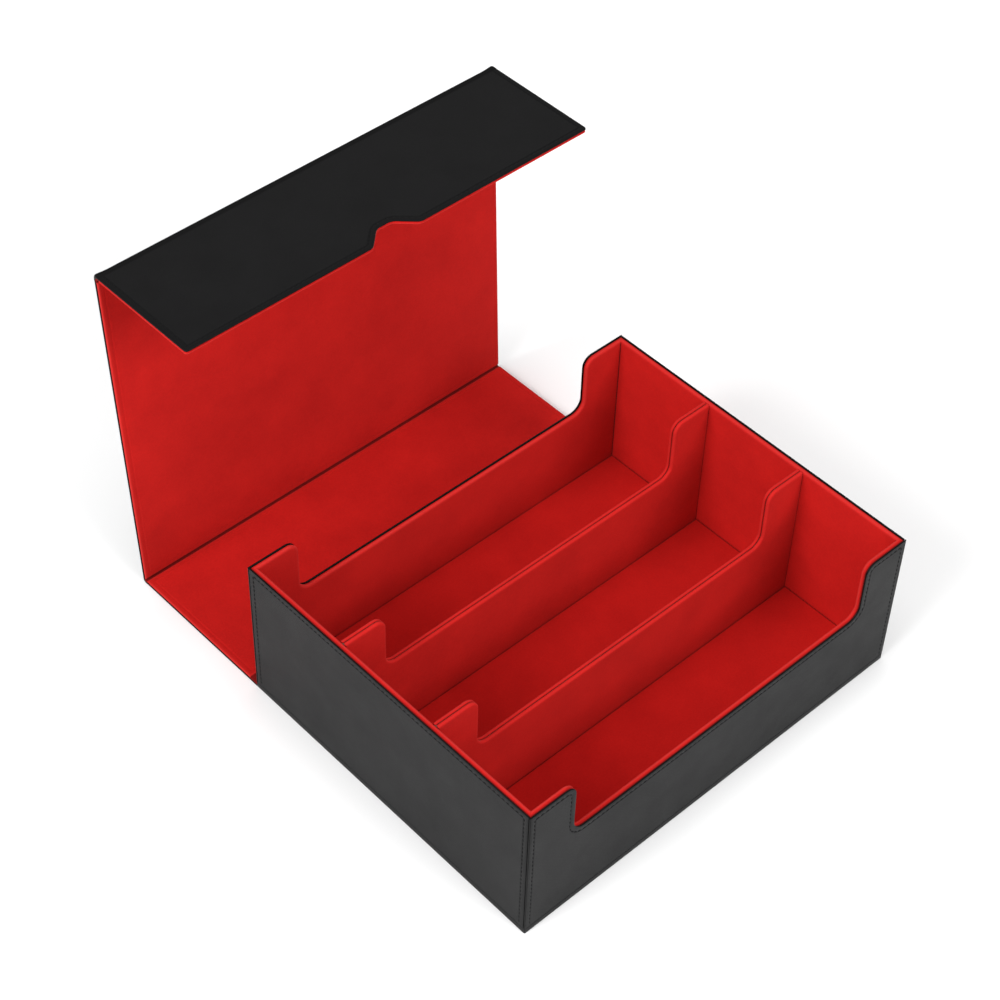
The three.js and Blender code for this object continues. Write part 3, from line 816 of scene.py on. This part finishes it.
def rolled_lining(corners, deep, shallow, seam_edge, edge, thickness, tuck_shade=-1, rub=1.0, mitred=False,
                  open_ends=False, pressed=0.0):
    """A sheet of suede that covers a board's face and rolls over its free edges.

    Its face is at the shallow height and it ends at the deep one, against the leather or the next sheet.
    Open ends and the foot between them stay square, for the pieces that stand against them.
    """
    half = corners[1][0]
    start = corners[0][1]
    if not open_ends:
        corners = corners[:2] + corners[3:-1]
    flat = edge + ROLL_MARGIN
    kept = {"foot": 0, "ends": 0} if open_ends else {}
    inner = {"foot": END_MARGIN, "ends": END_MARGIN} if open_ends else {}
    # The rounding on the seam side gets painted shade; the roll over the free edges gets a painted
    # highlight.
    rings = [(ring_corners(corners, inwards, **kept), deep + down, tuck_shade * math.sqrt(inwards / seam_edge), 0)
             for inwards, down in reversed(rounding(seam_edge, SEAM_STEPS))]
    rings += [(ring_corners(corners, inwards, **kept), shallow - down,
               rub * (FACE_RUB_AND_HIGHLIGHT + (1 - FACE_RUB_AND_HIGHLIGHT) * down / edge), 0)
              for inwards, down in rounding(edge, ROLL_STEPS)]
    rings.append((ring_corners(corners, flat, **inner), shallow, 0, 0))
    if pressed:
        rings += [(inset_corners(corners, pressed + step * PRESSED_STEP), shallow, 0, sunk)
                  for step, sunk in ((-1, 0), (0, PRESSED_DEPTH), (1, 0), (2, 0))]
    mesh = bmesh.new()
    stack_outlines(mesh, rings)
    corner = half
    if mitred:
        corner = half - MITRE_GAP - (shallow - deep)
        for side in (-1, 1):
            slice_mesh(mesh, (side * (half - MITRE_GAP), 0, deep), (side, 0, 1), clear_outer=True)
    if open_ends:
        crease(mesh, corner, shallow)
    hidden = [face for face in mesh.faces
              if all(abs(point.co.z - deep) < SAME_PLANE for point in face.verts)]
    if open_ends:
        hidden += [face for face in mesh.faces if face not in hidden and (
            all(abs(point.co.y - start) < SAME_PLANE for point in face.verts)
            or all(abs(abs(point.co.x) - half) < SAME_PLANE for point in face.verts))]
    bmesh.ops.delete(mesh, geom=hidden, context="FACES")
    bmesh.ops.solidify(mesh, geom=mesh.faces[:], thickness=thickness)
    return mesh


class DeckBoxWallLinings(bpy.types.Operator):
    """Makes the suede on the four walls, rolled over their rims and mitred at the corners"""

    bl_idname = "deck_box.wall_linings"
    bl_label = "Wall Linings"
    bl_options = {"REGISTER", "UNDO"}

    def execute(self, context):
        size = sizes()
        flip = Matrix.Rotation(math.pi, 4, "Y")
        for name, outward, _, half in WALLS:
            # Painted shade where the suede meets the leather and in the corners; a painted highlight where
            # it rolls over the rim.
            mesh = rolled_lining(wall_corners(name, half), BOARD_FACE, WALL, size.rim_roll, size.rim_roll,
                                 size.suede, mitred=True, open_ends=True)
            finish_piece(f"{name}_suede", mesh, wall_place(*outward) @ flip, "suede", "tray",
                         f"{name}_lining")
        return {"FINISHED"}


class DeckBoxDividers(bpy.types.Operator):
    """Makes the two suede halves of each divider, which meet in a seam along its rim"""

    bl_idname = "deck_box.dividers"
    bl_label = "Dividers"
    bl_options = {"REGISTER", "UNDO"}

    def execute(self, context):
        size = sizes()
        for name in ("front", "rear"):
            low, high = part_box(f"{name}_divider_board")
            centre = (low[1] + high[1]) / 2
            half = high[0]
            for face, side in FRONT_AND_REAR:
                node = f"{name}_divider_{face}_lining"
                near, far = sorted(abs(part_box(node)[end][1] - centre) for end in (0, 1))
                # Painted shade in the seam along the rim and in the corners; a fainter painted highlight
                # where the suede rolls over the rim.
                mesh = rolled_lining(scooped_corners(half, FOOT), near, far, size.seam_roll,
                                     size.divider_roll, size.suede, tuck_shade=-0.6, rub=0.45, open_ends=True)
                place = Matrix.Translation((0, centre - side * HALF_DEPTH, 0)) @ wall_place(0, side)
                finish_piece(f"{name}_divider_{face}_suede", mesh, place, "suede", "tray", node)
        return {"FINISHED"}


class DeckBoxFloors(bpy.types.Operator):
    """Makes the suede sheet on the floor of each row"""

    bl_idname = "deck_box.floors"
    bl_label = "Row Floors"
    bl_options = {"REGISTER", "UNDO"}

    def execute(self, context):
        for row in ("front", "middle", "rear"):
            low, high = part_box(f"{row}_row_floor_lining")
            corners = sheet_corners(low, high)
            rings = [(corners, low[2], FLOOR_FOOT_SHADE, 0)]
            rings += [(inset_corners(corners, inwards), high[2] - down, FLOOR_EDGE_SHADE, 0)
                      for inwards, down in rounding(FLOOR_EDGE)]
            rings.append((inset_corners(corners, FLOOR_EDGE * 2), high[2], 0, 0))
            mesh = bmesh.new()
            stack_outlines(mesh, rings)
            finish_piece(f"{row}_row_floor_suede", mesh, Matrix(), "suede", "tray",
                         f"{row}_row_floor_lining")
        return {"FINISHED"}


class DeckBoxCoverLinings(bpy.types.Operator):
    """Makes the suede inside the rear panel, the top panel and the flap"""

    bl_idname = "deck_box.cover_linings"
    bl_label = "Cover Linings"
    bl_options = {"REGISTER", "UNDO"}

    def execute(self, context):
        size, sewn = sizes(), stitching()
        flip = Matrix.Rotation(math.pi, 4, "Y")
        deep = BOARD_FACE - LEATHER / 2
        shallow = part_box("rear_panel_lining")[1][2] - JOINTS["rear_hinge"].z
        half = HALF_LENGTH - size.cover_setback
        start, end = cover_panel_span("front_flap", FLAP_PLACE)
        outlines = [(name, place, plain_corners(half, *cover_panel_span(name, place)))
                    for name, place in PANELS]
        outlines.append(("front_flap", FLAP_PLACE, flap_corners(half, start, end - size.cover_setback)))
        for name, place, corners in outlines:
            # Faint painted shade where the suede meets the leather; a painted highlight where it rolls over
            # the board.
            mesh = rolled_lining(corners, deep, shallow, size.rolled_edge, size.rolled_edge,
                                 size.cover_suede, tuck_shade=-0.1, pressed=sewn.inset - size.cover_setback)
            finish_piece(f"{name}_suede", mesh, place @ flip, "suede", name, f"{name}_lining")
        return {"FINISHED"}


# Folds: a strip's section is swept along its bend, then drawn out across the box.


def smooth_step(share):
    share = min(max(share, 0), 1)
    return share * share * (3 - 2 * share)


def folded_strip(lead, turn, tail, radius, low, high, half, rise, swell, at_end):
    """A strip that leaves along +y, turns towards -z by the angle and runs on; low and high are its faces.

    It bulges outwards by rise, and by swell too at the box's two sides, most at its end if at_end is set,
    else at its start.
    """
    mesh = bmesh.new()
    ends = [mesh.verts.new((-half, -lead, level)) for level in (low, high)]
    front = [mesh.edges.new(ends)]

    def grow(front):
        grown = bmesh.ops.extrude_edge_only(mesh, edges=front)["geom"]
        points = [item for item in grown if isinstance(item, bmesh.types.BMVert)]
        return points, [item for item in grown if isinstance(item, bmesh.types.BMEdge)
                        and all(point in points for point in item.verts)]

    reach = radius * math.tan(turn / 2)
    run = lead - reach
    steps = 1 if turn else LEAD_STEPS
    for _ in range(steps):
        points, front = grow(front)
        bmesh.ops.translate(mesh, verts=points, vec=(0, run / steps, 0))
    for _ in range(BEND_STEPS if turn else 0):
        points, front = grow(front)
        bmesh.ops.rotate(mesh, verts=points, cent=(0, -reach, -radius),
                         matrix=Matrix.Rotation(-turn / BEND_STEPS, 3, "X"))
    ahead = Vector((0, math.cos(turn), -math.sin(turn)))
    run = tail - reach
    steps = 1 if turn else TAIL_STEPS
    for _ in range(steps):
        points, front = grow(front)
        bmesh.ops.translate(mesh, verts=points, vec=ahead * (run / steps))
    grown = bmesh.ops.extrude_face_region(mesh, geom=mesh.faces[:])["geom"]
    bmesh.ops.translate(
        mesh, verts=[item for item in grown if isinstance(item, bmesh.types.BMVert)], vec=(2 * half, 0, 0))
    bmesh.ops.recalc_face_normals(mesh, faces=mesh.faces[:])
    inverse = Matrix.Rotation(turn, 3, "X")

    def at_tip(points):
        first = all(abs(point.co.y + lead) < SAME_PLACE for point in points)
        return first or all(abs((inverse @ point.co).y - tail) < SAME_PLANE for point in points)

    ribs = [item for item in mesh.edges
            if all(abs(abs(point.co.x) - half) < SAME_PLACE for point in item.verts)
            and abs(item.verts[0].co.x - item.verts[1].co.x) < SAME_PLACE
            and item.calc_face_angle() > 1 and not at_tip(item.verts)]
    round_edges(mesh, ribs, sizes().leather_edge * FOLD_EDGE)
    if swell:
        for side in (-1, 1):
            for inwards in RIDGE_CUTS:
                slice_mesh(mesh, (side * (half - inwards), 0, 0), (1, 0, 0))
        middle = ahead * tail if at_end else Vector((0, -lead, 0))
        out = Vector((0, -ahead.z, ahead.y)) if at_end else Vector((0, 0, 1))
        for point in mesh.verts:
            inwards = max(half - abs(point.co.x), 0)
            tip = 1 - min(inwards / RIDGE_TIP, 1)
            away = Vector((0, point.co.y - middle.y, point.co.z - middle.z)).length / (lead + tail)
            bulge = (rise + swell * smooth_step(1 - inwards / RIDGE_REACH)) * math.sqrt(1 - tip * tip)
            point.co += out * bulge * smooth_step((1 - away) * RIDGE_SPREAD)
    return mesh


class DeckBoxFolds(bpy.types.Operator):
    """Makes the leather and suede strips that bend between the tray, the panels and the flap"""

    bl_idname = "deck_box.folds"
    bl_label = "Folds"
    bl_options = {"REGISTER", "UNDO"}

    def execute(self, context):
        size = sizes()
        deep = BOARD_FACE - LEATHER / 2
        suede_faces = (-deep - size.fold_suede, -deep)
        leather_faces = (-LEATHER / 2, LEATHER / 2)
        tray_edge = JOINTS["rear_hinge"].y - HALF_DEPTH
        setback = cover_panel_span("rear_panel", REAR_PLACE)[0]
        flap_start = cover_panel_span("front_flap", FLAP_PLACE)[0]
        strip = (JOINTS["flap_hinge"] - JOINTS["flap_lift"]).length
        half_turn = FLAP_TURN / 2
        # Each strip's piece and node, the two bodies that it joins, its joint and its heading, then its
        # length before the bend, its turn, its length after the bend and the bend's radius.
        bends = (
            ("rear_fold", "rear_fold", "tray", "rear_panel", "rear_hinge", 0,
             tray_edge, 0, setback, 0.0),
            ("top_fold", "top_fold", "rear_panel", "top_panel", "top_hinge", 0,
             setback, TOP_TURN, setback, size.fold_radius),
            ("flap_fold_lift", "flap_fold", "top_panel", "flap_strip", "flap_lift", TOP_TURN,
             flap_start, half_turn, strip / 2, size.ridge_radius),
            ("flap_fold_swing", "flap_fold", "flap_strip", "front_flap", "flap_hinge", TOP_TURN + half_turn,
             strip / 2, half_turn, flap_start, size.ridge_radius),
        )
        layers = (
            ("skin", "leather", "leather", leather_faces, HALF_LENGTH),
            ("suede", "suede", "lining", suede_faces, HALF_LENGTH - size.cover_setback),
        )
        for name, node, first, second, joint, heading, lead, turn, tail, radius in bends:
            place = cover_place(JOINTS[joint], heading)
            reach = max(radius * math.tan(turn / 2), 0 if turn else FLAT_REACH)
            start = place @ Vector((0, -reach, 0))
            end = place @ Vector((0, reach * math.cos(turn), -reach * math.sin(turn)))
            rise, swell = (size.ridge_rise, size.ridge_swell) if name.startswith("flap") else (0, 0)
            for kind, stuff, sheet, (low, high), half in layers:
                mesh = folded_strip(lead, turn, tail, radius, low, high, half, rise, swell,
                                    at_end=name == "flap_fold_lift")
                finish_piece(f"{name}_{kind}", mesh, place, stuff, None, f"{node}_{sheet}",
                             blend=(first, second, tuple(start), tuple(end)))
        return {"FINISHED"}


# Stitching.


def stitch_line(corners, inset, foot):
    """The open line sewn inside an outline: up one end, round the free edges and down the other end."""
    line = outline_points(ring_corners(corners[:2] + corners[3:-1], inset, foot))
    low = min(point.y for point in line)
    first = next(index for index, point in enumerate(line)
                 if point.y < low + SAME_PLACE < line[(index + 1) % len(line)].y)
    return line[first:] + line[:first]


def straight_runs(line):
    """Splits a line at its sharp corners, where one row of stitches ends and the next begins."""
    runs = [[line[0]]]
    for before, here, after in zip(line, line[1:], line[2:]):
        runs[-1].append(here)
        if (here - before).angle(after - here) > SHARP_CORNER:
            runs.append([here])
    runs[-1].append(line[-1])
    return runs


def sew(mesh, line, height):
    """Sets one stitch after another along a line, each a drawn-out round with its ends in the leather."""
    sewn = stitching()
    stitch = bmesh.new()
    bmesh.ops.create_uvsphere(stitch, u_segments=STITCH_SIDES, v_segments=STITCH_SIDES, radius=1, matrix=(
        Matrix.Diagonal((sewn.length / 2, sewn.thread / 2, sewn.thread * STITCH_HEIGHT, 1))
        @ Matrix.Rotation(math.pi / 2, 4, "Y")))
    single = bpy.data.meshes.new("stitch")
    stitch.to_mesh(single)
    stitch.free()
    for run in straight_runs(line):
        spans = [(after - before).length for before, after in zip(run, run[1:])]
        total = sum(spans)
        count = round(total / sewn.pitch)
        for index in range(count):
            reach = (index + 0.5) * total / count
            for before, after, span in zip(run, run[1:], spans):
                if reach <= span:
                    break
                reach -= span
            along = (after - before).normalized()
            spot = before + along * reach
            across = Vector((0, 0, 1)).cross(along)
            turn = Matrix((along, across, Vector((0, 0, 1)))).transposed().to_4x4()
            first = len(mesh.verts)
            mesh.from_mesh(single)
            bmesh.ops.transform(mesh, matrix=Matrix.Translation((spot.x, spot.y, height)) @ turn
                                @ Matrix.Rotation(sewn.slant, 4, "Z"), verts=mesh.verts[first:])
    bpy.data.meshes.remove(single)


class DeckBoxStitches(bpy.types.Operator):
    """Sews every stitch line of the walls, the panels and the flap"""

    bl_idname = "deck_box.stitches"
    bl_label = "Stitches"
    bl_options = {"REGISTER", "UNDO"}

    def execute(self, context):
        sewn = stitching()
        for name, outward, half, _ in WALLS:
            mesh = bmesh.new()
            sew(mesh, stitch_line(wall_corners(name, half), sewn.inset, sewn.foot), STITCH_SINK)
            finish_piece(f"{name}_stitches", mesh, wall_place(*outward), "thread", "tray",
                         f"{name}_stitching")
        height = LEATHER / 2 + STITCH_SINK
        for name, place in PANELS:
            start, end = cover_panel_span(name, place)
            for end_name, side in ENDS:
                mesh = bmesh.new()
                x = -side * (HALF_LENGTH - sewn.inset)
                sew(mesh, [Vector((x, start + sewn.foot, 0)), Vector((x, end - sewn.foot, 0))], height)
                finish_piece(f"{name}_{end_name}_stitches", mesh, place, "thread", name,
                             f"{name}_{end_name}_stitching")
        start, end = cover_panel_span("front_flap", FLAP_PLACE)
        mesh = bmesh.new()
        sew(mesh, stitch_line(flap_corners(HALF_LENGTH, start, end), sewn.inset, sewn.foot), height)
        finish_piece("front_flap_stitches", mesh, FLAP_PLACE, "thread", "front_flap",
                     "front_flap_stitching")
        return {"FINISHED"}


class DeckBoxBoards(bpy.types.Operator):
    """Gives the boards and the magnets inside the walls and the cover their finish"""

    bl_idname = "deck_box.boards"
    bl_label = "Boards and Magnets"
    bl_options = {"REGISTER", "UNDO"}

    def execute(self, context):
        for name, node in frame["nodes"].items():
            build_material = next((build for word, build in HIDDEN_STUFF.items() if word in name), None)
            if build_material:
                node.data.materials.clear()
                node.data.materials.append(made(build_material))
        return {"FINISHED"}


# Stage.


def soft_light(name, power, place, target):
    data = bpy.data.lights.new(name, "AREA")
    data.shape = "DISK"
    data.size = LIGHT_WIDTH
    data.energy = power
    light = bpy.data.objects.new(name, data)
    light.location = place
    light.rotation_euler = (Vector(target) - Vector(place)).to_track_quat("-Z", "Y").to_euler()
    bpy.context.scene.collection.objects.link(light)


class DeckBoxStudio(bpy.types.Operator):
    """Sets the floor, the soft lights and the camera"""

    bl_idname = "deck_box.studio"
    bl_label = "Studio"
    bl_options = {"REGISTER", "UNDO"}

    def execute(self, context):
        stage = context.scene.deck_box_stage
        mesh = bmesh.new()
        bmesh.ops.create_grid(mesh, x_segments=1, y_segments=1, size=FLOOR_HALF,
                              matrix=Matrix.Translation((0, 0, -FLOOR_DROP)))
        data = bpy.data.meshes.new("floor")
        mesh.to_mesh(data)
        mesh.free()
        floor = bpy.data.objects.new("floor", data)
        context.scene.collection.objects.link(floor)
        material, tree, shader = new_material("pale_floor")
        where = object_coordinates(tree)
        mottle = noise_at(tree, where, "faint mottle", 0.4)
        shade = tuple(value * FLOOR_MOTTLE for value in stage.floor[:3]) + (1,)
        tree.links.new(blend_colours(tree, mottle, stage.floor, shade, "floor colour"),
                       shader.inputs["Base Color"])
        shader.inputs["Roughness"].default_value = 0.8
        shader.inputs["Specular IOR Level"].default_value = 0.2
        data.materials.append(material)

        world = bpy.data.worlds.new("soft_sky")
        world.use_nodes = True
        sky = next(node for node in world.node_tree.nodes if node.type == "BACKGROUND")
        sky.inputs["Color"].default_value = (1, 1, 1, 1)
        sky.inputs["Strength"].default_value = stage.sky
        context.scene.world = world
        for name, place, target in LIGHTS:
            soft_light(name, getattr(stage, name), place, target)
        context.scene.view_settings.view_transform = "Standard"

        camera_data = bpy.data.cameras.new("camera")
        camera_data.sensor_width = 36
        camera_data.lens = stage.lens
        camera_data.clip_start = 0.05
        camera = bpy.data.objects.new("camera", camera_data)
        camera.matrix_world = (
            Matrix.Translation(stage.camera_place) @ Matrix.Rotation(-stage.camera_turn, 4, "Z")
            @ Matrix.Rotation(math.pi / 2 - stage.camera_drop, 4, "X")
            @ Matrix.Rotation(stage.camera_roll, 4, "Z"))
        context.scene.collection.objects.link(camera)
        context.scene.camera = camera
        return {"FINISHED"}


class DeckBoxPanel(bpy.types.Panel):
    """Lists the pieces of the card deck box"""

    bl_idname = "VIEW3D_PT_deck_box"
    bl_label = "Card Deck Box"
    bl_space_type = "VIEW_3D"
    bl_region_type = "UI"
    bl_category = "Deck Box"

    def draw(self, context):
        for group in ("sizes", "stitching", "finish", "stage"):
            settings = getattr(context.scene, f"deck_box_{group}")
            column = self.layout.column(align=True)
            column.label(text=group.title())
            for name in settings.bl_rna.properties.keys():
                if name not in ("rna_type", "name"):
                    column.prop(settings, name)
        column = self.layout.column(align=True)
        for operator in OPERATORS:
            column.operator(operator.bl_idname)


SETTINGS = {
    "deck_box_sizes": DeckBoxSizes,
    "deck_box_stitching": DeckBoxStitching,
    "deck_box_finish": DeckBoxFinish,
    "deck_box_stage": DeckBoxStage,
}
OPERATORS = (
    DeckBoxStudio, DeckBoxBase, DeckBoxWallLeather, DeckBoxWallLinings, DeckBoxDividers, DeckBoxFloors,
    DeckBoxCoverLeather, DeckBoxCoverLinings, DeckBoxFolds, DeckBoxStitches, DeckBoxBoards,
)


def register():
    for setting in SETTINGS.values():
        bpy.utils.register_class(setting)
    for name, setting in SETTINGS.items():
        setattr(bpy.types.Scene, name, bpy.props.PointerProperty(type=setting))
    for operator in OPERATORS:
        bpy.utils.register_class(operator)
    bpy.utils.register_class(DeckBoxPanel)


def unregister():
    bpy.utils.unregister_class(DeckBoxPanel)
    for operator in reversed(OPERATORS):
        bpy.utils.unregister_class(operator)
    for name, setting in SETTINGS.items():
        delattr(bpy.types.Scene, name)
        bpy.utils.unregister_class(setting)


def main():
    register()
    bpy.ops.deck_box.studio()
    bpy.ops.deck_box.base()
    bpy.ops.deck_box.wall_leather()
    bpy.ops.deck_box.wall_linings()
    bpy.ops.deck_box.dividers()
    bpy.ops.deck_box.floors()
    bpy.ops.deck_box.cover_leather()
    bpy.ops.deck_box.cover_linings()
    bpy.ops.deck_box.folds()
    bpy.ops.deck_box.stitches()
    bpy.ops.deck_box.boards()


if __name__ == "__main__":
    main()
